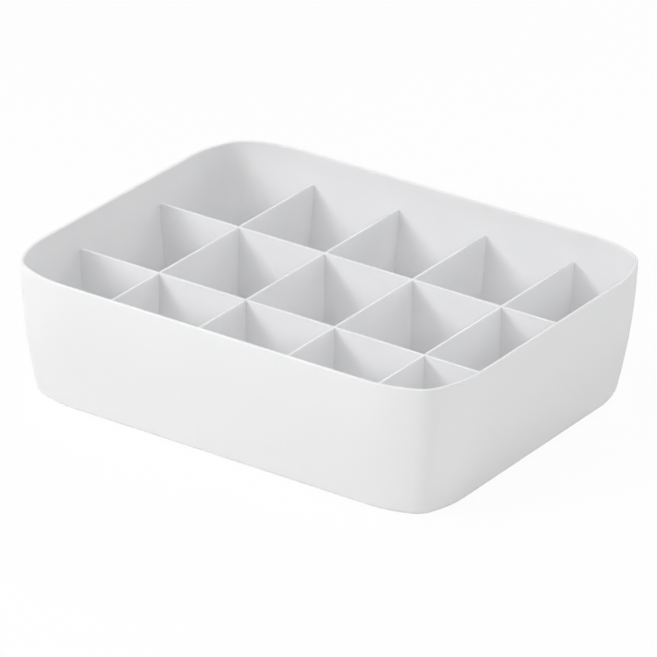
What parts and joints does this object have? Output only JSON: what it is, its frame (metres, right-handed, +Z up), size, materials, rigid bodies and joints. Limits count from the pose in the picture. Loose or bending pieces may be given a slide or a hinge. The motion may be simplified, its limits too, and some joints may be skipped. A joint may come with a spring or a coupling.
{
  "type": "drawer organizer insert",
  "caption": "Open moulded tray with rounded corners, split into a grid of compartments by interlocking lift-out dividers.",
  "frame": {"origin": "middle of the base, on the surface the tray stands on", "axes": "+X along the tray, +Y across it, +Z up out of the open top"},
  "size_m": [0.321, 0.254, 0.0875],
  "materials": {
    "tray_plastic": "satin white polypropylene",
    "divider_plastic": "satin white polypropylene"
  },
  "bodies": {
    "tray": {"tray": "tray_plastic"},
    "lengthwise_dividers": {"lengthwise_divider_1": "divider_plastic", "lengthwise_divider_2": "divider_plastic"},
    "crosswise_divider_1": {"crosswise_divider_1": "divider_plastic"},
    "crosswise_divider_2": {"crosswise_divider_2": "divider_plastic"},
    "crosswise_divider_3": {"crosswise_divider_3": "divider_plastic"},
    "crosswise_divider_4": {"crosswise_divider_4": "divider_plastic"}
  },
  "joints": [
    {"name": "grid_lift", "type": "slide", "parent": "tray", "child": "lengthwise_dividers", "axis": [0, 0, 1], "range_m": [0, 0.09]},
    {"name": "crosswise_divider_1_lift", "type": "slide", "parent": "lengthwise_dividers", "child": "crosswise_divider_1", "axis": [0, 0, 1], "range_m": [0, 0.09]},
    {"name": "crosswise_divider_2_lift", "type": "slide", "parent": "lengthwise_dividers", "child": "crosswise_divider_2", "axis": [0, 0, 1], "range_m": [0, 0.09]},
    {"name": "crosswise_divider_3_lift", "type": "slide", "parent": "lengthwise_dividers", "child": "crosswise_divider_3", "axis": [0, 0, 1], "range_m": [0, 0.09]},
    {"name": "crosswise_divider_4_lift", "type": "slide", "parent": "lengthwise_dividers", "child": "crosswise_divider_4", "axis": [0, 0, 1], "range_m": [0, 0.09]}
  ]
}
